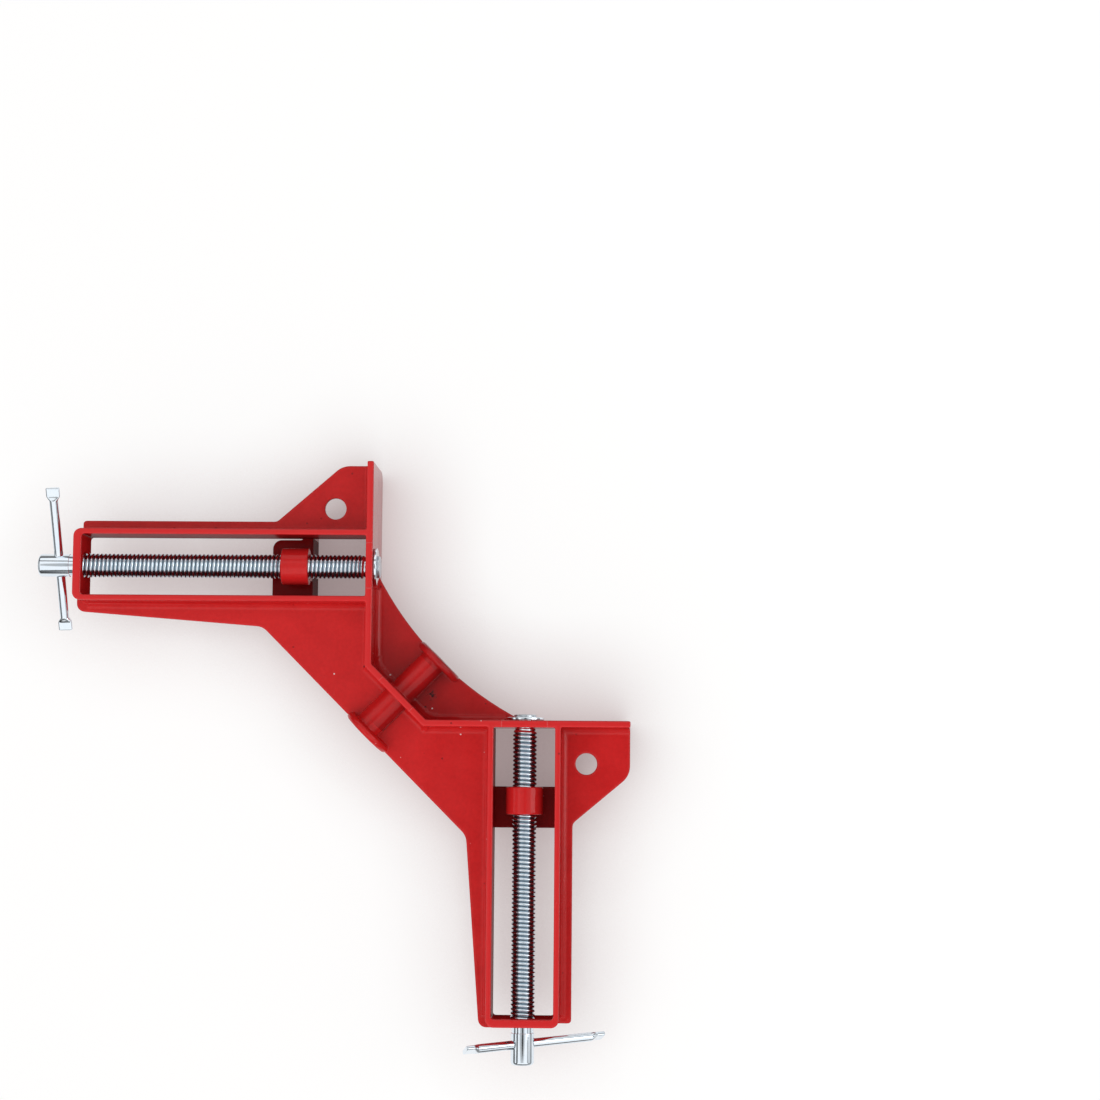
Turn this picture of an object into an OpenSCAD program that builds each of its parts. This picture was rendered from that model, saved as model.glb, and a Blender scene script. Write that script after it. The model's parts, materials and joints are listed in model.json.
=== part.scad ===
// Corner clamp: one casting with two square arms, a lead screw and a sliding jaw on each arm.
// The two outer fence faces are the planes x = 0 and y = 0, and their common corner on the bench
// is the origin. Arm A lies along -x, arm B along -y, +z is up. Millimetres throughout.

/* [Fence] */
// Length of each fence from the corner
fence_len = 101.6; // [95:0.1:110]
// Height of the fences and of the frame walls
fence_h = 38; // [37:0.5:42]
// Thickness of the fence wall
fence_t = 2.5; // [2:0.1:3.5]
// Leg of the chamfer that keeps the glue joint clear
corner_leg = 22.5; // [20:0.5:25]
// Radius of the lower end corner of each fence
fence_end_r = 5; // [2:0.5:8]

/* [Web] */
// Height of the web's underside above the bench, the height of work that fits below
web_z = 19; // [17:0.5:19.5]
// Thickness of the web
web_t = 2.8; // [2.4:0.1:3]
// Distance of the slanted outer edge from the corner, along x
web_back = 3.2; // [1:0.1:5]
// Sagitta of the hollow inner edge
web_sag = 6.6; // [5:0.1:8]
// Where the hollow inner edge leaves the fence, from the other fence plane
web_reach = 60.3; // [58:0.1:62]
// Casting fillet between walls and web
fillet_r = 3; // [1.5:0.1:3.2]
// Distance of the inner fillet's end from the hollow edge
fillet_stop = 7; // [5:0.5:9]

/* [Arms] */
// Distance of each screw axis from the other fence plane
screw_off = 61.25; // [60:0.25:63]
// Length of the screw frame from the fence plane
frame_len = 113; // [105:1:120]
// Clear width of the slot between the frame walls
slot_w = 23.4; // [22:0.1:25]
// Thickness of the frame's side walls
wall_t = 2.15; // [1.8:0.05:2.6]
// Thickness of the frame's end wall
end_t = 3.2; // [2.6:0.1:4]
// Thickness of the pad on the fence that the thread's shoulder meets
pad_t = 0.2; // [0.1:0.05:0.4]
// Radius of the frame's outer corners
frame_r = 3; // [2:0.5:4]
// Radius of the slot's end corners
slot_r = 1; // [0.5:0.1:2]
// Half width of the arm on its ear side
ear_half = 18.3; // [17:0.1:20]
// Half width of the arm's end on its corner side
corner_half = 17.2; // [16.5:0.1:18.5]
// Half width of the arm's root on its corner side
root_half = 22.8; // [21:0.1:24]
// Radius of the flange's end corner on the ear side
flange_ear_r = 1.3; // [0.8:0.1:2.5]
// Radius of the flange's end corner on the corner side
flange_corner_r = 3.2; // [2:0.1:4]
// Radius of the bend where the flange leaves the slanted edge
root_r = 6; // [3:0.5:9]
// How far the corner side's flange runs past the end wall
flange_past = 1.5; // [0.5:0.1:2.5]
// How far the ear side's flange stops short of the end wall
flange_short = 0.3; // [0:0.1:2]

/* [Ears] */
// Where the ear's slope leaves the arm, from the fence plane
ear_start = 36.7; // [34:0.1:40]
// Slope of the edge of ear A and of ear B, in degrees
ear_angle = [41, 50]; // [38:0.5:54]
// Radius of the ear's corner
ear_r = 8; // [3:0.5:10]
// Radius of the bend where the ear's slope begins
ear_root_r = 3; // [1:0.5:5]
// Diameter of the ear hole
ear_hole_d = 8.3; // [6:0.1:9]
// Ear hole from its own fence plane
ear_hole_back = 13.8; // [12:0.1:15]
// Ear hole from the other fence plane
ear_hole_off = 84.7; // [83:0.1:87]

/* [Corner barrel] */
// Outer diameter of the diagonal barrel
barrel_d = 10.7; // [9.5:0.1:11]
// Diameter of its end flanges
barrel_flange_d = 20.6; // [18:0.1:21]
// Thickness of its end flanges
barrel_flange_t = 2.9; // [2:0.1:3.5]
// How far the end flanges sit off the barrel's axis, towards arm B
barrel_flange_off = 1.7; // [0:0.1:2]
// Bore through the barrel
barrel_bore_d = 6.5; // [5:0.1:7]
// How far the outer flange stands proud of the web's slanted edge
barrel_proud = 0.6; // [0.3:0.1:1.5]
// How far the inner flange stands proud of the web's hollow edge
barrel_proud_inside = 0.8; // [0.3:0.1:1.5]

/* [Lead screw] */
// Outer diameter of the thread
thread_d = 9.4; // [8.6:0.1:9.6]
// Diameter of the tenon that turns in the fence
tenon_d = 7; // [6:0.1:7.4]
// Diameter of the hub that holds the tommy bar
hub_d = 8.9; // [8.2:0.1:9.4]
// Length of the hub
hub_len = 12.1; // [11:0.1:15]
// Rounding of the hub's outer end
hub_round = 1.3; // [0.8:0.1:2]
// Distance of the hub from the frame's end wall
hub_gap = 2.5; // [1:0.1:4]
// How far the thread stays inside the frame's end wall
thread_stop = 0.5; // [0.2:0.1:1]
// How much thinner the neck between thread and hub is than the hub
neck_step = 0.5; // [0.3:0.1:0.8]
// Distance of the bar's hole from the hub's inner end
hub_hole = 4.25; // [4:0.05:5]
// Diameter of the peened head on the tenon
head_d = 8.7; // [8:0.1:10]
// Thickness of the peened head
head_t = 1.1; // [0.8:0.1:1.6]
// Outer diameter of the retaining washer
washer_d = 14.6; // [13:0.1:15]
// Thickness of the retaining washer
washer_t = 1.1; // [0.8:0.1:1.5]

/* [Tommy bar] */
// Diameter of the bar
bar_d = 3.5; // [3:0.1:3.8]
// Length of the bar
bar_len = 57.5; // [50:0.5:60]
// Width of the flattened ends
bar_flat_w = 5.3; // [4.6:0.1:6]
// Length of the flattened ends
bar_flat_len = 5.3; // [4:0.1:6]
// Thickness of the flattened ends
bar_flat_t = 1.8; // [1.2:0.1:2.4]
// Length over which the bar spreads into its flattened end
bar_taper = 1.6; // [1:0.1:2]
// Radius of the flattened end's corners
bar_flat_r = 0.8; // [0.4:0.1:1.2]
// How bar A and bar B are turned about the screw, in degrees
bar_turn = [22, 26]; // [0:1:60]
// How far bar A and bar B are slid through the hub
bar_slide = [2.4, -5.1]; // [-15:0.1:15]
// How far bar A and bar B lean in their loose holes, in degrees
bar_lean = [1.8, 3.5]; // [0:0.1:3.6]

/* [Jaw] */
// Opening between each jaw and its fence
jaw_gap = 22.7; // [10:0.1:60]
// Width of the jaw's pressing face
jaw_w = 46; // [40:0.5:48]
// Thickness of the jaw's front plate
jaw_t = 4.2; // [3.5:0.1:5]
// Length of the jaw's top plate, front to back
jaw_len = 15.8; // [14:0.1:17]
// Thickness of the jaw's top plate
jaw_top_t = 3.4; // [3:0.1:4]
// Reach of the top plate to its right, below the web, from the screw axis
jaw_right = 17; // [15:0.1:18]
// Reach of the top plate to its left, on jaw A and on jaw B
jaw_left = [11.4, 17]; // [10.5:0.1:18]
// Radius of the top plate's back corners
jaw_corner_r = 3.5; // [2:0.1:4.5]
// Outer diameter of the nut boss
boss_d = 14.2; // [13.5:0.1:15]
// Length of the nut boss
boss_len = 10.5; // [9:0.1:12]
// Width of the neck that carries the boss through the slot
neck_w = 10; // [8:0.1:12]
// Thickness of the two gussets behind the front plate
gusset_t = 3; // [2:0.1:4]
// Height of the gussets' feet above the bench
gusset_foot = 3; // [1:0.5:5]
// How far the gussets stop short of the top plate's back edge
gusset_short = 1.5; // [1:0.1:3]

/* [Clearances] */
// Thread in the jaw's nut boss, on the radius
nut_clear = 0.08; // [0.05:0.01:0.1]
// Screw in the frame's end wall, on the radius
end_clear = 0.3; // [0.2:0.05:0.4]
// Tenon in the fence, on the radius
tenon_clear = 0.1; // [0.06:0.01:0.2]
// Tenon in the washer, on the radius
washer_clear = 0.2; // [0.15:0.01:0.3]
// Tommy bar in its loose hole, on the radius
bar_clear = 0.36; // [0.34:0.01:0.4]
// End play of the screw at each face of the fence
end_play = 0.15; // [0.1:0.05:0.3]
// Jaw below the web
jaw_clear = 0.4; // [0.3:0.05:0.6]
// Washer above the web
washer_rise = 0.3; // [0.25:0.05:0.5]

/* [Hidden] */
$fn = 64;

red = [0.72, 0.09, 0.11];
bright_steel = [0.80, 0.82, 0.84];
eps = 0.5;

web_top = web_z + web_t;
screw_z = web_top + washer_rise + washer_d / 2;
frame_half = slot_w / 2 + wall_t;
slot_len = frame_len - end_t;
flange_end_corner = frame_len + flange_past;
flange_end_ear = frame_len - flange_short;

// Where the chamfer's inner face meets the fences' inner faces, and how far fillets run past corners
inner_bend = corner_leg + fence_t * (sqrt(2) - 1);
lap = fillet_r * tan(22.5);

// The slanted outer edge is x + y = -web_back, so the root of the corner flange lies on it
root_y = screw_off - root_half;
root_x = -web_back - root_y;

// The hollow inner edge is an arc whose centre lies on the diagonal
web_chord = (web_reach - fence_t) * sqrt(2);
hollow_r = (pow(web_chord / 2, 2) + pow(web_sag, 2)) / (2 * web_sag);
hollow_mid = (web_reach + fence_t) / sqrt(2) - web_sag;
hollow_centre = (hollow_mid + hollow_r) / sqrt(2);

// The barrel runs along the diagonal, resting on the plane of the web's underside
barrel_z = web_z + barrel_d / 2;
barrel_start = -web_back / sqrt(2) - barrel_proud;
barrel_end = hollow_mid + barrel_proud_inside;

// Stations along the screw, from the outer fence face
tenon_end = fence_t + end_play + washer_t;
hub_in = -frame_len - hub_gap;
hub_out = hub_in - hub_len;
thread_end = -frame_len + thread_stop;
bar_u = hub_in - hub_hole;
neck_d = hub_d - neck_step;
head_round = 0.45 * head_t;

jaw_top = web_z - jaw_clear;

// Unit vectors and corner tangents for outlines with rounded corners
function unit(v) = v / norm(v);
function cross2(a, b) = a[0] * b[1] - a[1] * b[0];
function point(outline, i) = let (p = outline[(i + len(outline)) % len(outline)]) [p[0], p[1]];
function to_next(outline, i) = unit(point(outline, i + 1) - point(outline, i));
function to_last(outline, i) = unit(point(outline, i - 1) - point(outline, i));
function half_angle(outline, i) = acos(to_next(outline, i) * to_last(outline, i)) / 2;
function reach(outline, i) = outline[i][2] / tan(half_angle(outline, i));
function centre(outline, i) = point(outline, i)
    + unit(to_next(outline, i) + to_last(outline, i)) * outline[i][2] / sin(half_angle(outline, i));
function hollow(outline, i) = cross2(to_next(outline, i), to_last(outline, i)) < 0;

// A counter-clockwise outline of [x, y, corner radius] with true arcs at its corners
module rounded(outline) {
    corners = [for (i = [0 : len(outline) - 1]) i];
    trimmed = [for (i = corners)
        for (d = outline[i][2] > 0 ? [to_last(outline, i), to_next(outline, i)] : [[0, 0]])
            point(outline, i) + d * (outline[i][2] > 0 ? reach(outline, i) : 0)];
    difference() {
        union() {
            polygon(trimmed);
            for (i = corners)
                if (outline[i][2] > 0 && !hollow(outline, i))
                    translate(centre(outline, i)) circle(outline[i][2]);
        }
        for (i = corners)
            if (outline[i][2] > 0 && hollow(outline, i))
                translate(centre(outline, i)) circle(outline[i][2]);
    }
}

// Puts a local part on an arm: local x runs towards the fence, local y to the left of it
module on_arm(arm) {
    if (arm == 0) translate([0, screw_off, 0]) children();
    else translate([screw_off, 0, 0]) rotate([0, 0, 90]) children();
}

// Copies a shape of arm A onto arm B across the diagonal
module both_arms() {
    children();
    mirror([1, -1, 0]) children();
}

// A casting fillet on the web from p to q, with the wall on the right of that direction
module web_fillet(p, q) {
    sink = 0.3;
    soft = 0.985 * fillet_r;
    along = q - p;
    translate([p[0], p[1], web_top])
        rotate([0, 0, atan2(along[1], along[0])])
            rotate([90, 0, 90])
                linear_extrude(norm(along))
                    difference() {
                        translate([-sink, -sink]) square(sink + 0.9 * fillet_r);
                        translate([soft, soft]) circle(fillet_r);
                    }
}

// One arm's share of the web, out to the diagonal, drawn as arm A
module web_outline(arm) {
    ear_y = screw_off + ear_half;
    slope_x = -ear_start + (fence_len - ear_y) / tan(ear_angle[arm]);
    mid_wall = fence_t / 2;
    rounded([
        [mid_wall, fence_len, 0],
        [slope_x, fence_len, ear_r],
        [-ear_start, ear_y, ear_root_r],
        [-flange_end_ear, ear_y, flange_ear_r],
        [-flange_end_ear, screw_off, 0],
        [-flange_end_corner, screw_off, 0],
        [-flange_end_corner, screw_off - corner_half, flange_corner_r],
        [root_x, root_y, root_r],
        [-web_back / 2, -web_back / 2, 0],
        [web_reach / 2 + fence_t, web_reach / 2 + fence_t, 0],
        [mid_wall, web_reach + fence_t, 0],
    ]);
}

module web() {
    translate([0, 0, web_z])
        linear_extrude(web_t)
            difference() {
                union() {
                    web_outline(0);
                    mirror([1, -1, 0]) web_outline(1);
                }
                intersection() {
                    translate([hollow_centre, hollow_centre]) circle(hollow_r);
                    translate([fence_t / 2, fence_t / 2]) square(fence_len);
                }
            }
}

// Both fences and the chamfer between them, as one wall
module fence() {
    difference() {
        linear_extrude(fence_h)
            polygon([
                [0, fence_len], [0, corner_leg], [corner_leg, 0], [fence_len, 0],
                [fence_len, fence_t], [inner_bend, fence_t], [fence_t, inner_bend], [fence_t, fence_len],
            ]);
        both_arms()
            translate([-eps, fence_len - fence_end_r, 0])
                difference() {
                    translate([0, 0, -eps])
                        cube([fence_t + 2 * eps, fence_end_r + eps, fence_end_r + eps]);
                    translate([-eps, 0, fence_end_r])
                        rotate([0, 90, 0])
                            cylinder(r = fence_end_r, h = fence_t + 4 * eps);
                }
    }
}

module frame_block() {
    translate([0, 0, web_z])
        linear_extrude(fence_h - web_z)
            rounded([
                [fence_t / 2, screw_off + frame_half, 0],
                [-frame_len, screw_off + frame_half, frame_r],
                [-frame_len, screw_off - frame_half, frame_r],
                [fence_t / 2, screw_off - frame_half, 0],
            ]);
}

module frame_slot() {
    translate([0, 0, web_z - eps])
        linear_extrude(fence_h - web_z + 2 * eps)
            rounded([
                [-pad_t, screw_off + slot_w / 2, 0],
                [-slot_len, screw_off + slot_w / 2, slot_r],
                [-slot_len, screw_off - slot_w / 2, slot_r],
                [-pad_t, screw_off - slot_w / 2, 0],
            ]);
}

// Fillets run a little way into the walls at their ends, and past the chamfer's corners to meet there
module arm_fillets() {
    near = screw_off - frame_half;
    far = screw_off + frame_half;
    from_end = -frame_len + frame_r;
    web_fillet([lap, near], [from_end, near]);
    web_fillet([from_end, far], [lap, far]);
    web_fillet([0, corner_leg - lap], [0, near + lap]);
    web_fillet([0, far - lap], [0, fence_len]);
    web_fillet([fence_t, web_reach - fillet_stop], [fence_t, inner_bend - lap]);
}

module chamfer_fillets() {
    past = lap / sqrt(2);
    web_fillet([corner_leg + past, -past], [-past, corner_leg + past]);
    web_fillet([fence_t - past, inner_bend + past], [inner_bend + past, fence_t - past]);
}

// The diagonal barrel with a flange at each end, cut off level with the web's underside
module barrel() {
    length = barrel_end - barrel_start;
    difference() {
        translate([0, 0, barrel_z])
            rotate([0, 0, 45])
                translate([barrel_start, 0, 0])
                    rotate([0, 90, 0]) {
                        cylinder(d = barrel_d, h = length);
                        for (from = [0, length - barrel_flange_t])
                            translate([0, -barrel_flange_off, from]) barrel_flange();
                    }
        translate([-2 * barrel_flange_d, -2 * barrel_flange_d, web_z - barrel_flange_d])
            cube([5 * barrel_flange_d, 5 * barrel_flange_d, barrel_flange_d]);
    }
}

module barrel_flange() {
    rim = barrel_flange_t / 2 - 0.2;
    rotate_extrude()
        rounded([
            [0, 0, 0],
            [barrel_flange_d / 2, 0, rim],
            [barrel_flange_d / 2, barrel_flange_t, rim],
            [0, barrel_flange_t, 0],
        ]);
}

module arm_bores() {
    translate([-frame_len - eps, screw_off, screw_z])
        rotate([0, 90, 0]) cylinder(r = thread_d / 2 + end_clear, h = end_t + 2 * eps);
    translate([-eps, screw_off, screw_z])
        rotate([0, 90, 0]) cylinder(r = tenon_d / 2 + tenon_clear, h = fence_t + 2 * eps);
    translate([-ear_hole_back, ear_hole_off, web_z - eps])
        cylinder(d = ear_hole_d, h = web_t + 2 * eps);
}

module body_casting() {
    color(red)
        difference() {
            union() {
                web();
                fence();
                both_arms() frame_block();
                both_arms() arm_fillets();
                chamfer_fillets();
                barrel();
            }
            both_arms() frame_slot();
            both_arms() arm_bores();
            translate([0, 0, barrel_z])
                rotate([0, 0, 45])
                    translate([barrel_start - eps, 0, 0])
                        rotate([0, 90, 0])
                            cylinder(d = barrel_bore_d, h = barrel_end - barrel_start + 2 * eps);
        }
}

// Turned profile of the lead screw: radius against station, from the peened head to the hub
module screw_profile() {
    rounded([
        [0, hub_out, 0],
        [hub_d / 2, hub_out, hub_round],
        [hub_d / 2, hub_in, 0],
        [neck_d / 2, hub_in, 0],
        [neck_d / 2, thread_end, 0],
        [thread_d / 2, thread_end, 0],
        [thread_d / 2, -pad_t - end_play, 0],
        [tenon_d / 2, -pad_t - end_play, 0],
        [tenon_d / 2, tenon_end, 0],
        [head_d / 2, tenon_end, 0],
        [head_d / 2, tenon_end + head_t, head_round],
        [0, tenon_end + head_t, 0],
    ]);
}

module lead_screw(arm) {
    color(bright_steel)
        on_arm(arm)
            translate([0, 0, screw_z])
                difference() {
                    rotate([0, 90, 0]) rotate_extrude() screw_profile();
                    translate([bar_u, 0, 0])
                        rotate([bar_turn[arm] - 90, 0, 0])
                            cylinder(r = bar_d / 2 + bar_clear, h = 2 * hub_d, center = true);
                }
}

module retaining_washer(arm) {
    color(bright_steel)
        on_arm(arm)
            translate([fence_t + end_play, 0, screw_z])
                rotate([0, 90, 0])
                    difference() {
                        cylinder(d = washer_d, h = washer_t);
                        translate([0, 0, -eps])
                            cylinder(r = tenon_d / 2 + washer_clear, h = washer_t + 2 * eps);
                    }
}

// One flattened end of the bar: wide across the screw's axis, thin the other way, z along the bar
module bar_flat() {
    wide = bar_flat_w / 2;
    thin = bar_flat_t / 2;
    shank_r = bar_d / 2;
    intersection() {
        translate([0, bar_d, 0])
            rotate([90, 0, 0])
                linear_extrude(2 * bar_d)
                    rounded([
                        [-shank_r, 0, 0], [shank_r, 0, 0], [wide, bar_taper, 0],
                        [wide, bar_flat_len, bar_flat_r], [-wide, bar_flat_len, bar_flat_r],
                        [-wide, bar_taper, 0],
                    ]);
        translate([-bar_flat_w, 0, 0])
            rotate([90, 0, 90])
                linear_extrude(2 * bar_flat_w)
                    polygon([
                        [-shank_r, 0], [shank_r, 0], [thin, bar_taper],
                        [thin, bar_flat_len], [-thin, bar_flat_len], [-thin, bar_taper],
                    ]);
    }
}

module tommy_bar(arm) {
    shank = bar_len - 2 * bar_flat_len;
    color(bright_steel)
        on_arm(arm)
            translate([bar_u, 0, screw_z])
                rotate([bar_turn[arm] - 90, 0, 0])
                    rotate([0, -bar_lean[arm], 0])
                        translate([0, 0, bar_slide[arm]]) {
                            cylinder(d = bar_d, h = shank, center = true);
                            for (end = [0, 1])
                                mirror([0, 0, end])
                                    translate([0, 0, shank / 2])
                                        bar_flat();
                        }
}

// The jaw: front plate below the web, top plate under the slot, a nut boss on a neck through the slot
module jaw(arm) {
    front = -jaw_gap;
    color(red)
        on_arm(arm)
            difference() {
                union() {
                    translate([front - jaw_t, -jaw_w / 2, 0]) cube([jaw_t, jaw_w, jaw_top]);
                    translate([0, 0, jaw_top - jaw_top_t])
                        linear_extrude(jaw_top_t)
                            rounded([
                                [front, -jaw_right, 0], [front, jaw_left[arm], 0],
                                [front - jaw_len, jaw_left[arm], jaw_corner_r],
                                [front - jaw_len, -jaw_right, jaw_corner_r],
                            ]);
                    translate([front - boss_len, -neck_w / 2, jaw_top - jaw_top_t])
                        cube([boss_len, neck_w, screw_z - jaw_top + jaw_top_t]);
                    translate([front - boss_len, 0, screw_z])
                        rotate([0, 90, 0])
                            cylinder(d = boss_d, h = boss_len);
                    for (side = [-1, 1])
                        translate([front - jaw_t, side * neck_w / 2 + gusset_t / 2, 0]) jaw_gusset();
                }
                translate([front - boss_len - eps, 0, screw_z])
                    rotate([0, 90, 0])
                        cylinder(r = thread_d / 2 + nut_clear, h = boss_len + 2 * eps);
            }
}

// A sloped rib from the foot of the front plate to the back of the top plate
module jaw_gusset() {
    back = jaw_len - jaw_t - gusset_short;
    high = jaw_top - jaw_top_t / 2;
    rotate([90, 0, 0])
        linear_extrude(gusset_t)
            polygon([[eps, gusset_foot], [eps, high], [-back, high], [-back, high - jaw_top_t]]);
}

module lead_screw_a() { lead_screw(0); }
module lead_screw_b() { lead_screw(1); }
module retaining_washer_a() { retaining_washer(0); }
module retaining_washer_b() { retaining_washer(1); }
module tommy_bar_a() { tommy_bar(0); }
module tommy_bar_b() { tommy_bar(1); }
module jaw_a() { jaw(0); }
module jaw_b() { jaw(1); }

body_casting();
lead_screw_a();
lead_screw_b();
retaining_washer_a();
retaining_washer_b();
tommy_bar_a();
tommy_bar_b();
jaw_a();
jaw_b();
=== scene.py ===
"""Looks of a cast corner clamp: red enamel on the castings, bright zinc on screws, bars and washers."""

import json
import math

import bmesh
import bpy
import numpy as np
from mathutils import Matrix, Vector


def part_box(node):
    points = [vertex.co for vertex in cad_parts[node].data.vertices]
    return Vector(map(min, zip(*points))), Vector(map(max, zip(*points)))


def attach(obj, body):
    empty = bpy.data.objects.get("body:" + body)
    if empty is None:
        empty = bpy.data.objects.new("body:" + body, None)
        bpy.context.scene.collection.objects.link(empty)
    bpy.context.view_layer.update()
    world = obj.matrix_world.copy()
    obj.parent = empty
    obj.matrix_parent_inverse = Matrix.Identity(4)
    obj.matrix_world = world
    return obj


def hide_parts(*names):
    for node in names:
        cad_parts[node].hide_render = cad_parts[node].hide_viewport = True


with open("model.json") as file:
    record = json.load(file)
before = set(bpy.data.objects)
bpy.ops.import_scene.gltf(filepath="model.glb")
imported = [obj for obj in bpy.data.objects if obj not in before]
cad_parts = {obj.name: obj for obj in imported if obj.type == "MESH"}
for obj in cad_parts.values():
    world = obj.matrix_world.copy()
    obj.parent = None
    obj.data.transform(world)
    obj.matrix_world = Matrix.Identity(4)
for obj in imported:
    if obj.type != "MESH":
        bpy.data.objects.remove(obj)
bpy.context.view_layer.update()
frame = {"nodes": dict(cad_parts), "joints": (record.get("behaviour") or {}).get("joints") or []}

MM = 0.001
ARMS = ("a", "b")
JOINTS = {joint["name"]: joint for joint in frame["joints"]}
UP = np.array([0.0, 0.0, 1.0])

# Lead screw, stations in millimetres along its axis from the fence plane
THREAD_R = 4.7
ROOT_R = 3.84
PITCH = 1.5875
CREST_POWER = 2.1
THREAD_NEAR = -0.35
THREAD_FAR = -112.5
LEAD_IN = 2.0
RUN_OUT = 1.2
NECK_R = 4.2
HUB_R = 4.45
HUB_NEAR = -115.5
HUB_FAR = -127.6
HUB_ROUND = 1.3
TENON_R = 3.5
TENON_END = 3.75
HEAD_R = 4.35
HEAD_T = 1.1
HEAD_DENT = 0.03
OVERLAP = 0.4
POLE_R = 0.4

# Retaining washer
WASHER_NEAR = 2.65
WASHER_FAR = 3.75
WASHER_R = 7.3
WASHER_BORE_R = 3.7

# Tommy bar
BAR_R = 1.75
BAR_LEN = 57.5
FLAT_LEN = 5.3
FLAT_W = 5.3
FLAT_T = 1.8
FLAT_TAPER = 2.2
BAR_END_ROUND = 0.35

# How far each loose bar is rolled about its own length, in degrees
BAR_ROLL = {"a": 0.0, "b": -62.0}

# Casting
WALL_TOP = 38.0
FENCE_T = 2.5
WEB_TOP = 21.8
SCREW_OFF = 61.25
CHAMFER_LEG = 22.5
FILLET_R = 3.0
COVE_R = 8.0
COVE_BURY = 0.9
COVE_RAMP = 3.0
COVE_SINK = 0.6

# Slots: half their width, the inner end, and the level that the jaws' plates reach
SLOT_HALF = 11.7
SLOT_END = -109.8
JAW_PLATE_TOP = 20.0

# Where shade is painted: slack at a slot's faces, the barrel and its run of x + y, the recess and the strip
# at the barrel's foot
FACE_SLACK = 0.4
BARREL_AT = (0.013, 0.013, 0.0244)
BARREL_HALF = 5.6
BARREL_FROM = 4.0
BARREL_TO = 48.0
RECESS_REACH = 40.0
FOOT_REACH = 7.0

# Where paint is knocked about, with pale specks that are also painted highlights: the corner's reach, and the
# bare patch by the barrel
CORNER_REACH = 45.0
BARE_AT = (0.0248, 0.0124, 0.0218)
BARE_R = 4.0

# Die marks: half the width of the insert at each screw and of the one at the barrel, half a mark's own width,
# and how far a mark reaches from the middle of a fence
INSERT_HALF = 8.7
CORE_HALF = 8.2
MARK_HALF = 0.22
MARK_REACH = 1.55

# Rounding that a die and paint leave on the castings' edges: grid in millimetres and passes of smoothing
SKIN_GRID = 0.28
SKIN_PASSES = 8
CASTING_TRIANGLES = 190000
JAW_TRIANGLES = 40000
SHARP_ANGLE = math.radians(28)

# Light: the sky's least strength, what a window adds, where it lies and how fast it falls off
SKY_LOW = 0.20
SKY_WINDOW = 1.60
WINDOW_AT = (-0.33, -0.46, 0.83)
SKY_FALL = 2.5

# Floor: half its width, its level, its colour, its lift to the eye, how far a hollow shades it, and where it
# fades out in reflections
FLOOR_HALF = 9.0
FLOOR_LOW = -0.0003
FLOOR_PALE = (0.32, 0.315, 0.31)
FLOOR_LIFT = 0.73
FLOOR_HOLLOW = 0.045
FLOOR_REACH = 0.27
FLOOR_FADE = 0.08

# What reflections show: its strength, and dark bars by axis, place, half width and depth
MIRROR_LEVEL = 1.1
DARK_BARS = ((0, -0.76, 0.12, 1.0), (0, 0.84, 0.08, 0.7), (1, -0.86, 0.10, 1.0), (1, 0.62, 0.10, 0.8))

# Camera, in the frame of a square picture of 1100 pixels
PICTURE_PX = 1100
FOCAL_PX = 2476.38
SENSOR_MM = 36.0
CAMERA_AT = (0.0953973, -0.0191950, 0.9803354)
CAMERA_TILT_X = -0.091717
CAMERA_TILT_Y = -0.026469
CAMERA_ROLL = -0.008057


class Value:
    """A shader socket that takes part in Python arithmetic: each operation adds one Math node."""

    def __init__(self, paint, socket):
        self.paint = paint
        self.socket = socket

    def math(self, operation, first, second=0.0):
        return self.paint.node("ShaderNodeMath", {"operation": operation}, {0: first, 1: second})

    def __add__(self, other):
        return self.math("ADD", self, other)

    def __radd__(self, other):
        return self.math("ADD", other, self)

    def __sub__(self, other):
        return self.math("SUBTRACT", self, other)

    def __rsub__(self, other):
        return self.math("SUBTRACT", other, self)

    def __mul__(self, other):
        return self.math("MULTIPLY", self, other)

    def __rmul__(self, other):
        return self.math("MULTIPLY", other, self)

    def __truediv__(self, other):
        return self.math("DIVIDE", self, other)

    def __gt__(self, other):
        return self.math("GREATER_THAN", self, other)

    def __lt__(self, other):
        return self.math("LESS_THAN", self, other)

    def __abs__(self):
        return self.math("ABSOLUTE", self)

    def __pow__(self, other):
        return self.math("POWER", self, other)

    def least(self, other):
        return self.math("MINIMUM", self, other)

    def most(self, other):
        return self.math("MAXIMUM", self, other)

    def share(self):
        """Held between 0 and 1."""
        return self.most(0.0).least(1.0)

    def near(self, place, reach):
        """1 at a place, falling evenly to 0 at a distance of reach."""
        return (1.0 - abs(self - place) / reach).most(0.0)


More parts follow.
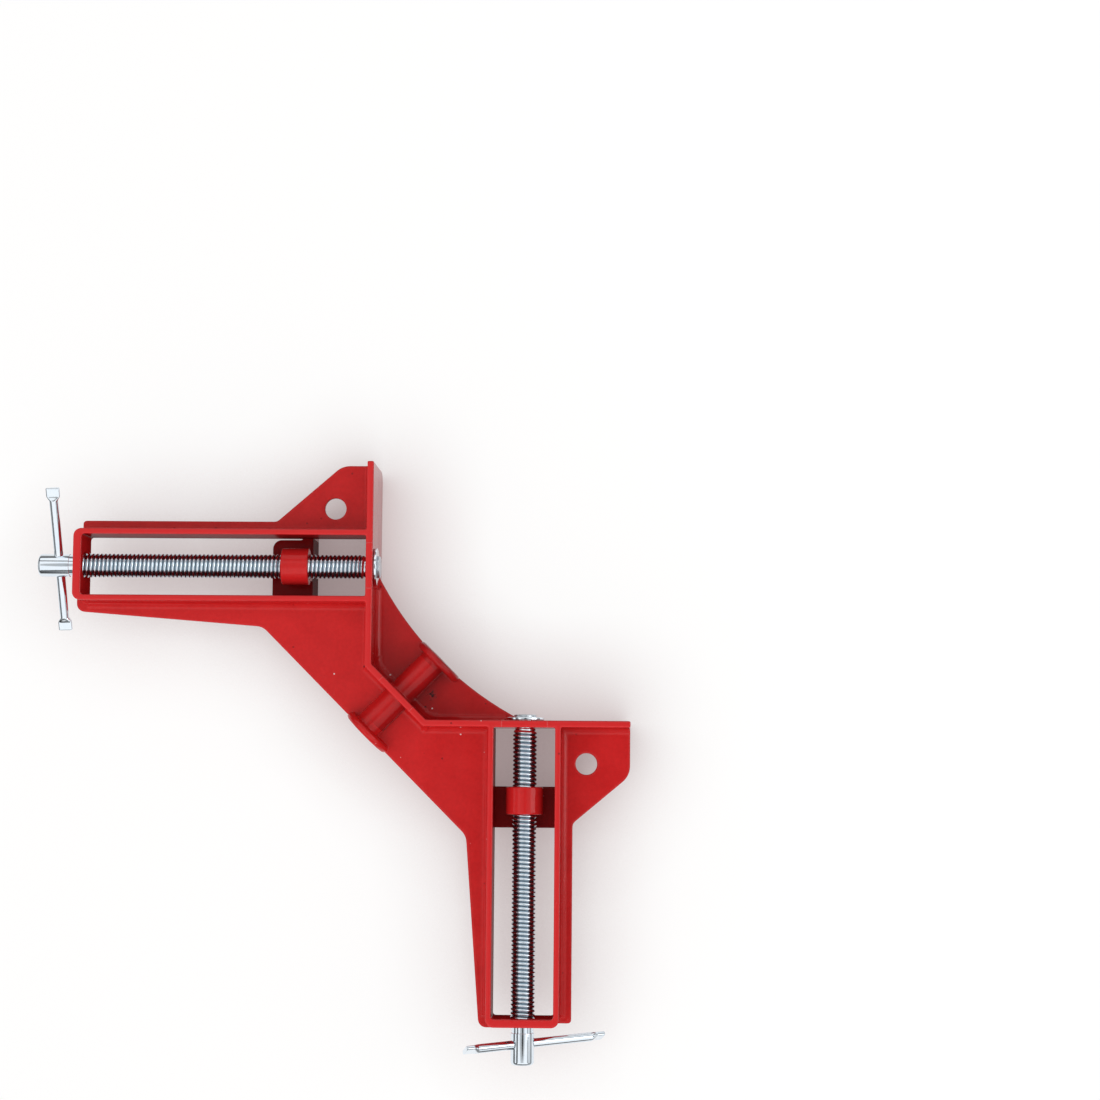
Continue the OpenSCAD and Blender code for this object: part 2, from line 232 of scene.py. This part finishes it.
class Paint:
    """Nodes of one material or world, made one at a time."""

    def __init__(self, owner):
        owner.use_nodes = True
        self.tree = owner.node_tree
        self.tree.nodes.clear()

    def node(self, kind, settings=None, inputs=None, out=0):
        made = self.tree.nodes.new(kind)
        for name, value in (settings or {}).items():
            setattr(made, name, value)
        for key, value in (inputs or {}).items():
            if isinstance(value, Value):
                self.tree.links.new(value.socket, made.inputs[key])
            else:
                made.inputs[key].default_value = value
        return Value(self, made.outputs[out]) if made.outputs else made

    def place(self):
        return self.node("ShaderNodeTexCoord", out="Object")

    def parts(self, vector):
        return [self.node("ShaderNodeSeparateXYZ", {}, {0: vector}, axis) for axis in "XYZ"]

    def stretched(self, where, scale):
        return self.node("ShaderNodeMapping", {}, {"Vector": where, "Scale": scale})

    def distance(self, where, point):
        inputs = {0: where, 1: point}
        return self.node("ShaderNodeVectorMath", {"operation": "DISTANCE"}, inputs, "Value")

    def noise(self, where, scale, detail=2.0, roughness=0.5):
        inputs = {"Vector": where, "Scale": scale, "Detail": detail, "Roughness": roughness}
        return self.node("ShaderNodeTexNoise", {}, inputs)

    def dots(self, where, scale, radius, share):
        """Round bumps of a radius given in cells, on a share of the cells: 1 at a centre, 0 outside."""
        inputs = {"Vector": where, "Scale": scale}
        distance = self.node("ShaderNodeTexVoronoi", {}, inputs, "Distance")
        colour = self.node("ShaderNodeTexVoronoi", {}, inputs, "Color")
        chance = self.node("ShaderNodeSeparateColor", {}, {0: colour})
        return (1.0 - distance / radius).most(0.0) * (chance > 1.0 - share)

    def mix(self, factor, first, second):
        settings = {"data_type": "RGBA", "clamp_factor": True}
        return self.node("ShaderNodeMix", settings, {0: factor, 6: first, 7: second}, 2)

    def bump(self, height, depth):
        return self.node("ShaderNodeBump", {}, {"Distance": depth, "Height": height})

    def surface(self, inputs, share=None, other=None):
        """A Principled surface, or a share from 0 to 1 of another one over it."""
        shader = self.node("ShaderNodeBsdfPrincipled", {}, inputs)
        if other:
            second = self.node("ShaderNodeBsdfPrincipled", {}, other)
            shader = self.node("ShaderNodeMixShader", {}, {0: share, 1: shader, 2: second})
        self.node("ShaderNodeOutputMaterial", {}, {"Surface": shader})


def rgb(red, green, blue):
    return (red, green, blue, 1.0)


def die_marks(paint, where):
    """Hair lines across the wall tops, where inserts of the die met: 1 on a line, 0 beside it."""
    x, y, z = paint.parts(where)
    half = MARK_HALF * MM
    slack = 0.3 * MM
    fences = []
    for along, across in ((x, y), (y, x)):
        on_fence = abs(along - FENCE_T / 2 * MM) < MARK_REACH * MM
        fences.append(abs(across - SCREW_OFF * MM).near(INSERT_HALF * MM, half) * on_fence)
    chamfer_near = CHAMFER_LEG * MM - slack
    chamfer_far = (CHAMFER_LEG + FENCE_T * math.sqrt(2)) * MM + slack
    on_chamfer = ((x + y) > chamfer_near) * ((x + y) < chamfer_far)
    across_chamfer = abs((x - y) / math.sqrt(2)).near(CORE_HALF * MM, half) * on_chamfer
    return fences[0].most(fences[1]).most(across_chamfer) * (z > (WALL_TOP - 0.8) * MM)


def painted_shade_and_matt(paint, where):
    """How far painted shade darkens the colour, and how far the gloss is lost, each from 0 to 1.

    Shade is painted as a dark colour on the inner faces of the two slots and on the jaws' plates low down
    between them, on one flank of the barrel, and in the recess behind the chamfer, more so along the
    barrel's foot. The slots' end faces have their full colour, but no gloss.
    """
    x, y, z = paint.parts(where)
    low = z < (WALL_TOP - 0.6) * MM
    slack = FACE_SLACK * MM
    side = SLOT_HALF * MM
    end = SLOT_END * MM
    sides = []
    ends = []
    for along, across in ((x, y), (y, x)):
        off = abs(across - SCREW_OFF * MM)
        in_slot = (off < side + slack) * (along < -slack) * (along > end - slack) * low
        sides.append(in_slot * (off > side - slack).most(z < JAW_PLATE_TOP * MM))
        ends.append(in_slot * (along < end + slack))
    slots = sides[0].most(sides[1])
    past_fences = (x > FENCE_T * 0.9 * MM) * (y > FENCE_T * 0.9 * MM)
    behind = past_fences * ((x + y) > (CHAMFER_LEG + FENCE_T) * MM)
    aside = (x - y) / math.sqrt(2)
    barrel_half = BARREL_HALF * MM
    barrel = (abs(aside) < barrel_half) * (x + y > BARREL_FROM * MM) * (x + y < BARREL_TO * MM)
    flank = (aside / barrel_half).share() * 0.45 + 0.08
    foot = (1.0 - abs(aside - barrel_half) / (FOOT_REACH * MM)).share() * 0.30
    recess = behind * (1.3 - paint.distance(where, BARREL_AT) / (RECESS_REACH * MM)).share() * (0.34 + foot)
    recess = recess * (1.0 - barrel) + flank * barrel
    matt = (slots * 0.75).most(ends[0]).most(ends[1])
    return (slots * 0.72).most(recess) * low, matt


def red_enamel():
    """Glossy stoved enamel over a rough casting.

    Slow ripples and a fine orange peel bend the reflections, grit stands up under the film, pits and a
    bare patch by the barrel show dark, pale specks show where paint is knocked to the metal and are also
    painted highlights, the wall tops are painted lighter as wear and as painted sheen, die lines cross
    them with a painted highlight, and shade is painted in the slots, on the barrel and in the recess.
    """
    material = bpy.data.materials.new("red_enamel")
    paint = Paint(material)
    where = paint.place()
    ripple = paint.noise(where, 90.0, 3.0)
    peel = paint.noise(where, 1300.0, 1.0)
    mottle = paint.noise(where, 700.0, 2.0, 0.7)
    grit = paint.dots(where, 230.0, 0.11, 0.15)
    corner = (1.6 - paint.distance(where, BARREL_AT) / (CORNER_REACH * MM)).share()
    pits = paint.dots(where, 170.0, 0.08, 0.35) * (0.35 + 0.65 * corner)
    knocks_and_glints = paint.dots(where, 190.0, 0.075, 0.55) * corner
    chips = paint.noise(where, 1100.0, 3.0, 0.6)
    bare = (1.0 - paint.distance(where, BARE_AT) / (BARE_R * MM)).most(0.0)
    bare = ((bare * 0.50 + chips - 0.80) * 5.0).share()
    marks_and_glint = die_marks(paint, where)
    dark = (pits ** 0.5).most(bare)
    # Wall tops painted lighter: partly wear, partly a painted sheen where the rounded tops catch light.
    wear_and_sheen = ((paint.parts(where)[2] - (WALL_TOP - 1.2) * MM) / (0.9 * MM)).share()
    colour = paint.mix(ripple * 0.5 + mottle * 0.5, rgb(0.48, 0.010, 0.011), rgb(0.79, 0.021, 0.022))
    painted_shade, matt = painted_shade_and_matt(paint, where)
    # Painted shade: the colour turns dark red in the slots, on the jaws' plates, on one flank of the barrel
    # and in the recess.
    colour = paint.mix(painted_shade, colour, rgb(0.10, 0.003, 0.004))
    colour = paint.mix(wear_and_sheen * 0.7, colour, rgb(0.76, 0.028, 0.030))
    # Painted highlight: the die lines are painted lighter, standing in for light caught on their ridges.
    colour = paint.mix(marks_and_glint * 0.5, colour, rgb(0.80, 0.15, 0.15))
    colour = paint.mix(dark, colour, rgb(0.04, 0.003, 0.004))
    # Pale specks: paint knocked to the metal, and also painted highlights standing in for glints off grit.
    colour = paint.mix((knocks_and_glints * 3.0).share(), colour, rgb(0.80, 0.70, 0.70))
    height = ripple * 0.9 + peel * 0.10 + grit * 1.4 + marks_and_glint - dark * 0.7
    normal = paint.bump(height, 0.00012)
    gloss = {"Base Color": colour, "Roughness": 0.10 + ripple * 0.10, "Normal": normal, "IOR": 1.32}
    flat = {"Base Color": colour, "Roughness": 0.8, "Normal": normal, "Specular IOR Level": 0.0}
    paint.surface(gloss, matt, flat)
    return material


def zinc_coat(paint, where):
    """Clear zinc plate: its tint from blue to straw, and an uneven polish, both as slow noise."""
    tint = paint.noise(where, 160.0, 2.0)
    polish = paint.noise(where, 700.0, 3.0)
    colour = paint.mix(tint, rgb(0.70, 0.80, 0.90), rgb(0.85, 0.89, 0.92))
    return colour, polish


def rolled_zinc():
    """Zinc on the rolled thread: bright crests, flanks painted greyer as painted shade,
    and grooves painted dark as oil and dust and as painted shade.
    """
    material = bpy.data.materials.new("rolled_zinc")
    paint = Paint(material)
    where = paint.place()
    colour, polish = zinc_coat(paint, where)
    depth = paint.node("ShaderNodeAttribute", {"attribute_name": "depth"}, {}, "Fac")
    # Painted shade: grooves darken partly for oil and dust and partly as shade in the thread's creases;
    # flanks turn greyer.
    grime_and_shade = ((depth - 0.58) * 3.0).share() * (0.55 + polish * 0.6)
    colour = paint.mix((depth * 2.0).share(), colour, rgb(0.46, 0.57, 0.65))
    paint.surface({
        "Base Color": paint.mix(grime_and_shade, colour, rgb(0.10, 0.095, 0.10)),
        "Metallic": 1.0,
        "Roughness": 0.10 + polish * 0.14 + grime_and_shade * 0.2,
        "Normal": paint.bump(polish, 0.00002),
    })
    return material


def turned_zinc(arm):
    """Zinc on turned steel: lathe marks are noise drawn out round the screw's axis."""
    material = bpy.data.materials.new("turned_zinc_" + arm)
    paint = Paint(material)
    where = paint.place()
    colour, polish = zinc_coat(paint, where)
    fine, coarse = 9000.0, 90.0
    scale = (fine, coarse, coarse) if arm == "a" else (coarse, fine, coarse)
    lathe = paint.noise(paint.stretched(where, scale), 1.0, 2.0)
    dents = paint.dots(where, 420.0, 0.20, 0.06)
    paint.surface({
        "Base Color": paint.mix(dents * 0.5, colour, rgb(0.35, 0.36, 0.38)),
        "Metallic": 1.0,
        "Roughness": 0.04 + polish * 0.07 + lathe * 0.04,
        "Normal": paint.bump(lathe * 0.25 + polish * 0.5 - dents, 0.00002),
    })
    return material


def drawn_zinc():
    """Zinc on drawn wire: a smooth polish with a few small dents from use."""
    material = bpy.data.materials.new("drawn_zinc")
    paint = Paint(material)
    where = paint.place()
    colour, polish = zinc_coat(paint, where)
    dents = paint.dots(where, 260.0, 0.22, 0.10)
    paint.surface({
        "Base Color": paint.mix(dents * 0.6, colour, rgb(0.30, 0.31, 0.33)),
        "Metallic": 1.0,
        "Roughness": 0.05 + polish * 0.09 + dents * 0.15,
        "Normal": paint.bump(polish * 0.5 - dents, 0.00005),
    })
    return material


def peened_zinc():
    """Zinc broken up by the hammer: grey facets and rough edges."""
    material = bpy.data.materials.new("peened_zinc")
    paint = Paint(material)
    where = paint.place()
    colour, polish = zinc_coat(paint, where)
    blows = paint.noise(where, 420.0, 2.0)
    paint.surface({
        "Base Color": paint.mix(blows * 0.9, colour, rgb(0.30, 0.31, 0.32)),
        "Metallic": 1.0,
        "Roughness": 0.20 + polish * 0.25,
        "Normal": paint.bump(blows, 0.00035),
    })
    return material


def soft_profile(corners, steps=6):
    """Points of an open profile of (station, radius, rounding) corners, with an arc at each rounded one.

    The arc touches both sides at rounding / tan(half the corner's angle) from the corner, and its
    points turn evenly about the centre that lies on the corner's bisector.
    """
    points = []
    for index, (station, radius, rounding) in enumerate(corners):
        corner = np.array([station, radius])
        if not rounding:
            points.append(corner)
            continue
        back = np.array(corners[index - 1][:2]) - corner
        onward = np.array(corners[index + 1][:2]) - corner
        back = back / np.linalg.norm(back)
        onward = onward / np.linalg.norm(onward)
        half = math.acos(np.clip(back @ onward, -1, 1)) / 2
        bisector = (back + onward) / np.linalg.norm(back + onward)
        centre = corner + bisector * rounding / math.sin(half)
        first = corner + back * rounding / math.tan(half) - centre
        last = corner + onward * rounding / math.tan(half) - centre
        swing = math.pi - 2 * half
        turn = np.linspace(0, 1, steps + 1)[:, None]
        arc = first * np.sin((1 - turn) * swing) + last * np.sin(turn * swing)
        points.extend(centre + arc / math.sin(swing))
    return np.array(points)


def on_screw(arm, points):
    """Turns (along the screw, to its left, up) in millimetres into places in the frame, in metres."""
    joint = JOINTS["screw_turn_" + arm]
    along = np.array(joint["axis"], float)
    left = np.cross(UP, along)
    return np.array(joint["pos_m"]) + (points @ np.array([along, left, UP])) * MM


def ring_faces(rings, around):
    """Quads between neighbouring closed rings of points, and a fan to a pole at each end."""
    row = np.arange(rings - 1)[:, None] * around
    here = np.arange(around)[None, :]
    onward = (here + 1) % around
    corners = [row + here, row + onward, row + around + onward, row + around + here]
    quads = np.stack(corners, -1).reshape(-1, 4)
    last = (rings - 1) * around
    near_pole = np.full(around, rings * around)
    far_pole = near_pole + 1
    near = np.stack([onward[0], here[0], near_pole], -1)
    far = np.stack([last + here[0], last + onward[0], far_pole], -1)
    return quads.tolist() + near.tolist() + far.tolist()


def closed_tube(name, rings):
    """A closed mesh from an array of rings: rings of points around, with each end closed to its middle."""
    count, around = rings.shape[:2]
    poles = [rings[0].mean(0), rings[-1].mean(0)]
    points = np.vstack([rings.reshape(-1, 3), poles])
    mesh = bpy.data.meshes.new(name)
    mesh.from_pydata(points, [], ring_faces(count, around))
    return mesh


def finish_piece(name, mesh, material, body, stands_for=None, sharp=SHARP_ANGLE):
    """Makes the mesh a smooth outward-facing piece with a material, riding on a body."""
    work = bmesh.new()
    work.from_mesh(mesh)
    bmesh.ops.recalc_face_normals(work, faces=work.faces)
    work.to_mesh(mesh)
    work.free()
    mesh.shade_smooth()
    mesh.set_sharp_from_angle(angle=sharp)
    mesh.materials.clear()
    mesh.materials.append(material)
    piece = bpy.data.objects.new(name, mesh)
    bpy.context.scene.collection.objects.link(piece)
    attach(piece, body)
    if stands_for:
        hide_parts(stands_for)
    return piece


def turned_rings(arm, profile, around=96, dent=0.0):
    """Revolves a profile of (station, radius) about the screw: each point goes round on a circle.

    With a dent the circle is drawn in by that share in five soft facets, as hammer blows leave it.
    """
    angle = np.linspace(0, 2 * math.pi, around, endpoint=False)
    station = np.repeat(profile[:, :1], around, 1)
    facets = 0.5 + 0.35 * np.cos(5 * angle + 0.6) + 0.15 * np.cos(8 * angle)
    radius = profile[:, 1:] * (1 - dent * facets)
    local = np.stack([station, radius * np.cos(angle), radius * np.sin(angle)], -1)
    return on_screw(arm, local.reshape(-1, 3)).reshape(local.shape)


def thread_mesh(arm, per_pitch=16, around=56):
    """The left-hand thread as radius over (station, angle).

    The phase is station / pitch + angle / turn, so a crest goes back one pitch per turn. The radius
    falls from a crest as a power of the distance to it, which leaves round crests and a narrow root,
    and at both ends it fades to the root. The depth below the crest, as a share, goes along as an
    attribute for the material.
    """
    count = int((THREAD_NEAR - THREAD_FAR) / PITCH * per_pitch)
    station = np.linspace(THREAD_FAR, THREAD_NEAR, count)[:, None]
    angle = np.linspace(0, 2 * math.pi, around, endpoint=False)[None, :]
    phase = station / PITCH + angle / (2 * math.pi)
    ramp = (2 * np.abs(phase - np.round(phase))) ** CREST_POWER
    lead_in = np.clip((THREAD_NEAR - station) / LEAD_IN, 0, 1)
    run_out = np.clip((station - THREAD_FAR) / RUN_OUT, 0, 1)
    height = (1 - ramp) * lead_in * run_out
    radius = ROOT_R + (THREAD_R - ROOT_R) * height
    along = np.broadcast_to(station, radius.shape)
    local = np.stack([along, radius * np.cos(angle), radius * np.sin(angle)], -1)
    mesh = closed_tube("thread", on_screw(arm, local.reshape(-1, 3)).reshape(local.shape))
    depth = mesh.attributes.new("depth", "FLOAT", "POINT")
    below = np.where(lead_in * run_out < 1, 0.0, 1 - height)
    depth.data.foreach_set("value", np.append(below.ravel(), [0.0, 0.0]).astype(np.float32))
    return mesh


def bar_axes(arm):
    """The bar's own direction, the direction its flats are wide in, and the one they are thin in."""
    along = np.array(JOINTS["bar_slide_" + arm]["axis"], float)
    screw = np.array(JOINTS["screw_turn_" + arm]["axis"], float)
    wide = screw - (screw @ along) * along
    wide = wide / np.linalg.norm(wide)
    thin = np.cross(along, wide)
    roll = math.radians(BAR_ROLL[arm])
    rolled_wide = wide * math.cos(roll) + thin * math.sin(roll)
    return along, rolled_wide, np.cross(along, rolled_wide)


def hub_mesh(arm):
    """Neck and hub, turned in one. Its side is closed where the bar goes through."""
    profile = soft_profile([
        (THREAD_FAR + OVERLAP, NECK_R - 0.6, 0),
        (THREAD_FAR, NECK_R, 0),
        (HUB_NEAR, NECK_R, 0),
        (HUB_NEAR, HUB_R, 0.15),
        (HUB_FAR, HUB_R, HUB_ROUND),
        (HUB_FAR, POLE_R, 0),
    ])
    return closed_tube("hub", turned_rings(arm, profile))


def tenon_mesh(arm):
    """The tenon that turns in the fence: a plain shaft from the thread's end into the head."""
    profile = soft_profile([
        (THREAD_NEAR - OVERLAP, TENON_R - 0.1, 0),
        (THREAD_NEAR, TENON_R, 0),
        (TENON_END + HEAD_T / 2, TENON_R, 0),
    ])
    return closed_tube("tenon", turned_rings(arm, profile))


def head_mesh(arm):
    """The peened head: a flat button with a soft rim, drawn in a little by the hammer."""
    profile = soft_profile([
        (TENON_END, TENON_R - 0.2, 0),
        (TENON_END, HEAD_R, 0.2),
        (TENON_END + HEAD_T, HEAD_R, 0.5),
        (TENON_END + HEAD_T, POLE_R, 0),
    ])
    return closed_tube("head", turned_rings(arm, profile, dent=HEAD_DENT))


def washer_mesh(arm):
    """A plain ring with both rims rounded, its section carried once round."""
    section = [
        (WASHER_NEAR, WASHER_BORE_R, 0.12),
        (WASHER_NEAR, WASHER_R, 0.3),
        (WASHER_FAR, WASHER_R, 0.3),
        (WASHER_FAR, WASHER_BORE_R, 0.12),
    ]
    before = (*section[-1][:2], 0)
    after = (*section[0][:2], 0)
    profile = soft_profile([before, *section, after])[1:-1]
    rings = turned_rings(arm, profile)
    count, around = rings.shape[:2]
    row = np.arange(count)[:, None] * around
    here = np.arange(around)[None, :]
    next_row = (row + around) % (count * around)
    onward = (here + 1) % around
    corners = [row + here, row + onward, next_row + onward, next_row + here]
    quads = np.stack(np.broadcast_arrays(*corners), -1).reshape(-1, 4)
    mesh = bpy.data.meshes.new("washer")
    mesh.from_pydata(rings.reshape(-1, 3), [], quads.tolist())
    return mesh


def bar_mesh(arm, around=48):
    """A round rod swaged flat at both ends.

    A section is a superellipse |x / a| ** n + |y / b| ** n = 1. Towards each end a grows, b shrinks
    and n rises from 2, a circle, to 5, a soft rectangle. The last rings shrink on a quarter circle.
    """
    along, wide, thin = bar_axes(arm)
    low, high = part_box("tommy_bar_" + arm)
    centre = np.array((low + high) / 2)
    half = BAR_LEN / 2
    arc = np.linspace(0, math.pi / 2, 6)
    tip = half - BAR_END_ROUND * (1 - np.sin(arc))
    flat = np.linspace(half - FLAT_LEN, half - BAR_END_ROUND, 24)
    side = np.concatenate([flat[:-1], tip])
    inset = np.concatenate([np.zeros(len(flat) - 1), BAR_END_ROUND * (1 - np.cos(arc))])
    place = np.concatenate([-side[::-1], side])
    shrink = np.concatenate([inset[::-1], inset])[:, None]
    share = np.clip((np.abs(place) - (half - FLAT_LEN)) / FLAT_TAPER, 0, 1)[:, None]
    share = share ** 2 * (3 - 2 * share)
    a = BAR_R + (FLAT_W / 2 - BAR_R) * share - shrink
    b = BAR_R + (FLAT_T / 2 - BAR_R) * share - shrink
    power = 2 / (2 + 3 * share)
    angle = np.linspace(0, 2 * math.pi, around, endpoint=False)[None, :]
    x = a * np.sign(np.cos(angle)) * np.abs(np.cos(angle)) ** power
    y = b * np.sign(np.sin(angle)) * np.abs(np.sin(angle)) ** power
    points = centre + (place[:, None, None] * along + x[..., None] * wide + y[..., None] * thin) * MM
    return closed_tube("bar", points)


def corner_cove(arm, steps=16):
    """The soft corner where the inner fillets of fence and chamfer meet.

    About an upright axis COVE_R from both walls, a section is turned from one wall to the other: the
    fillet's quarter circle from its toe on the web to the wall, then a steep ramp into the corner.
    """
    bend = CHAMFER_LEG + FENCE_T * (math.sqrt(2) - 1)
    corner = np.array([FENCE_T, bend])
    bisector = np.array([math.cos(math.radians(22.5)), math.sin(math.radians(22.5))])
    centre = corner + bisector * COVE_R / math.cos(math.radians(22.5))
    rise = np.linspace(0, math.pi / 2, 10)
    toe = COVE_R - FILLET_R
    in_wall = COVE_R + COVE_BURY
    from_axis = np.concatenate([toe + FILLET_R * np.sin(rise), [in_wall, in_wall, toe]])
    sunk = -COVE_SINK
    up = np.concatenate([FILLET_R * (1 - np.cos(rise)), [FILLET_R + COVE_RAMP, sunk, sunk]]) + WEB_TOP
    turn = np.linspace(math.pi, math.pi * 1.25, steps)[:, None]
    x = centre[0] + from_axis * np.cos(turn)
    y = centre[1] + from_axis * np.sin(turn)
    places = (x, y) if arm == "a" else (y, x)
    rings = np.stack([*places, np.broadcast_to(up, x.shape)], -1) * MM
    return closed_tube("cove", rings)


def cast_skin(node, triangles, extras=()):
    """The casting's own surface with edges and corners rounded, as a die and a coat of paint leave them.

    The solid, with any small extras, is resampled on a fine even grid, its points are drawn towards
    their neighbours' mean, which moves only what is near an edge, and the flats are thinned out again.
    """
    work = bmesh.new()
    work.from_mesh(frame["nodes"][node].data)
    bmesh.ops.remove_doubles(work, verts=work.verts, dist=0.002 * MM)
    for extra in extras:
        work.from_mesh(extra)
    mesh = bpy.data.meshes.new(node + "_solid")
    work.to_mesh(mesh)
    work.free()
    solid = bpy.data.objects.new(node + "_solid", mesh)
    bpy.context.scene.collection.objects.link(solid)
    grid = solid.modifiers.new("grid", "REMESH")
    grid.mode = "VOXEL"
    grid.voxel_size = SKIN_GRID * MM
    soft = solid.modifiers.new("soft", "SMOOTH")
    soft.factor = 0.5
    soft.iterations = SKIN_PASSES
    bpy.context.view_layer.update()
    count = len(solid.evaluated_get(bpy.context.evaluated_depsgraph_get()).data.polygons)
    thin = solid.modifiers.new("thin", "DECIMATE")
    thin.ratio = min(1.0, triangles / (2 * count))
    bpy.context.view_layer.update()
    done = bpy.data.meshes.new_from_object(solid.evaluated_get(bpy.context.evaluated_depsgraph_get()))
    bpy.data.objects.remove(solid)
    return done


def floor_and_backdrop():
    """A pale floor that keeps the shadow, lifted to nearly white where it is open, and clear from below.
    In hollows and close beside the clamp the lift is cut back as painted shade and turned pink as a painted
    red bounce.

    Reflections see only the floor close by, as if it were a sheet of paper in a darker room.
    """
    material = bpy.data.materials.new("pale_floor")
    paint = Paint(material)
    camera = paint.node("ShaderNodeLightPath", out="Is Camera Ray")
    glossy = paint.node("ShaderNodeLightPath", out="Is Glossy Ray")
    reach = {"Distance": FLOOR_HOLLOW}
    open_sky = paint.node("ShaderNodeAmbientOcclusion", {"samples": 8}, reach, "AO")
    near = ((FLOOR_REACH - paint.distance(paint.place(), (0.0, 0.0, 0.0))) / FLOOR_FADE).share()
    # Painted shade: the lift falls off where the floor is hemmed in; painted red bounce: it turns pink there.
    seen = (camera + glossy * near) * (0.33 + 0.67 * open_sky)
    painted_bounce_tint = paint.mix(open_sky, rgb(1.0, 0.78, 0.78), rgb(1.0, 1.0, 1.0))
    diffuse = paint.node("ShaderNodeBsdfDiffuse", {}, {"Color": rgb(*FLOOR_PALE)})
    lift = paint.node("ShaderNodeEmission", {}, {"Color": painted_bounce_tint, "Strength": seen * FLOOR_LIFT})
    both = paint.node("ShaderNodeAddShader", {}, {0: diffuse, 1: lift})
    clear = paint.node("ShaderNodeBsdfTransparent")
    below = paint.node("ShaderNodeNewGeometry", out="Backfacing")
    shown = paint.node("ShaderNodeMixShader", {}, {0: below, 1: both, 2: clear})
    paint.node("ShaderNodeOutputMaterial", {}, {"Surface": shown})
    sides = ((-1, -1), (1, -1), (1, 1), (-1, 1))
    mesh = bpy.data.meshes.new("floor")
    mesh.from_pydata([(x * FLOOR_HALF, y * FLOOR_HALF, FLOOR_LOW) for x, y in sides], [], [(0, 1, 2, 3)])
    mesh.materials.append(material)
    floor = bpy.data.objects.new("floor", mesh)
    bpy.context.scene.collection.objects.link(floor)


def studio_world():
    """White to the eye, and for light a sky that brightens evenly towards one broad window.

    Reflections show a glow all round, a grey ceiling with a dark middle, dark bars on the four sides and
    a dim room at the horizon that is darkest on one side.
    """
    world = bpy.data.worlds.new("studio")
    bpy.context.scene.world = world
    paint = Paint(world)
    direction = paint.node("ShaderNodeTexCoord", out="Generated")
    x, y, z = paint.parts(direction)
    camera = paint.node("ShaderNodeLightPath", out="Is Camera Ray")
    glossy = paint.node("ShaderNodeLightPath", out="Is Glossy Ray")
    ceiling = ((1.3 - (x / 0.42) ** 2.0 - (y / 0.28) ** 2.0) * 1.6).share() * (z > 0.0)
    middle = ((1.3 - ((x - 0.06) / 0.14) ** 2.0 - ((y + 0.02) / 0.17) ** 2.0) * 1.8).share() * (z > 0.0)
    bars = z * 0.0
    for axis, place, half, depth in DARK_BARS:
        aside = abs((x, y)[axis] - place)
        bars = bars.most(((1.0 - aside / half) * 3.0).share() * depth)
    bars = bars * (z > 0.0)
    room = ((0.32 - z) * 7.0).share() * (0.45 + 0.45 * ((0.3 - x) * 2.2).share())
    mirror = MIRROR_LEVEL * (1.0 - 0.5 * ceiling) * (1.0 - 0.9 * middle) * (1.0 - 0.85 * bars)
    mirror = mirror * (1.0 - room)
    vectors = {0: direction, 1: WINDOW_AT}
    window = paint.node("ShaderNodeVectorMath", {"operation": "DOT_PRODUCT"}, vectors, "Value")
    sky = SKY_LOW + SKY_WINDOW * window.most(0.0) ** SKY_FALL
    strength = camera + (1.0 - camera) * (glossy * mirror + (1.0 - glossy) * sky)
    light = paint.node("ShaderNodeBackground", {}, {"Color": rgb(1, 1, 1), "Strength": strength})
    paint.node("ShaderNodeOutputWorld", {}, {"Surface": light})


def soft_lamp(name, place, size, watts):
    """A plain panel of light, turned towards the origin."""
    light = bpy.data.lights.new(name, "AREA")
    light.shape = "RECTANGLE"
    light.size, light.size_y = size
    light.energy = watts
    lamp = bpy.data.objects.new(name, light)
    bpy.context.scene.collection.objects.link(lamp)
    lamp.location = place
    lamp.rotation_euler = (-Vector(place)).to_track_quat("-Z", "Y").to_euler()
    lamp.visible_camera = False


def photo_camera():
    """The viewing angle: almost straight down, with small tilts about the picture's two axes."""
    data = bpy.data.cameras.new("camera")
    data.sensor_width = SENSOR_MM
    data.lens = FOCAL_PX / PICTURE_PX * SENSOR_MM
    camera = bpy.data.objects.new("camera", data)
    bpy.context.scene.collection.objects.link(camera)
    turn = (
        Matrix.Rotation(CAMERA_ROLL, 3, "Z")
        @ Matrix.Rotation(CAMERA_TILT_X, 3, "X")
        @ Matrix.Rotation(CAMERA_TILT_Y, 3, "Y")
    )
    camera.matrix_world = Matrix.Translation(CAMERA_AT) @ turn.transposed().to_4x4()
    bpy.context.scene.camera = camera


photo_camera()
floor_and_backdrop()
studio_world()
soft_lamp("side", place=(0.95, 0.10, 0.60), size=(0.4, 0.6), watts=1.7)

enamel = red_enamel()
rolled = rolled_zinc()
drawn = drawn_zinc()
peened = peened_zinc()

casting = cast_skin("body_casting", CASTING_TRIANGLES, [corner_cove(arm) for arm in ARMS])
finish_piece("clamp_casting", casting, enamel, "casting", "body_casting", math.pi)
for arm in ARMS:
    screw = "screw_" + arm
    slide = "sliding_jaw_" + arm
    turned = turned_zinc(arm)
    jaw = cast_skin("jaw_" + arm, JAW_TRIANGLES)
    finish_piece("jaw_casting_" + arm, jaw, enamel, slide, "jaw_" + arm, math.pi)
    thread = thread_mesh(arm)
    finish_piece("screw_thread_" + arm, thread, rolled, screw, "lead_screw_" + arm, math.pi)
    finish_piece("screw_hub_" + arm, hub_mesh(arm), turned, screw)
    finish_piece("screw_tenon_" + arm, tenon_mesh(arm), turned, screw)
    finish_piece("screw_head_" + arm, head_mesh(arm), peened, screw)
    finish_piece("washer_" + arm, washer_mesh(arm), drawn, screw, "retaining_washer_" + arm)
    finish_piece("bar_" + arm, bar_mesh(arm), drawn, "bar_" + arm, "tommy_bar_" + arm)

scene = bpy.context.scene
scene.view_settings.view_transform = "Standard"
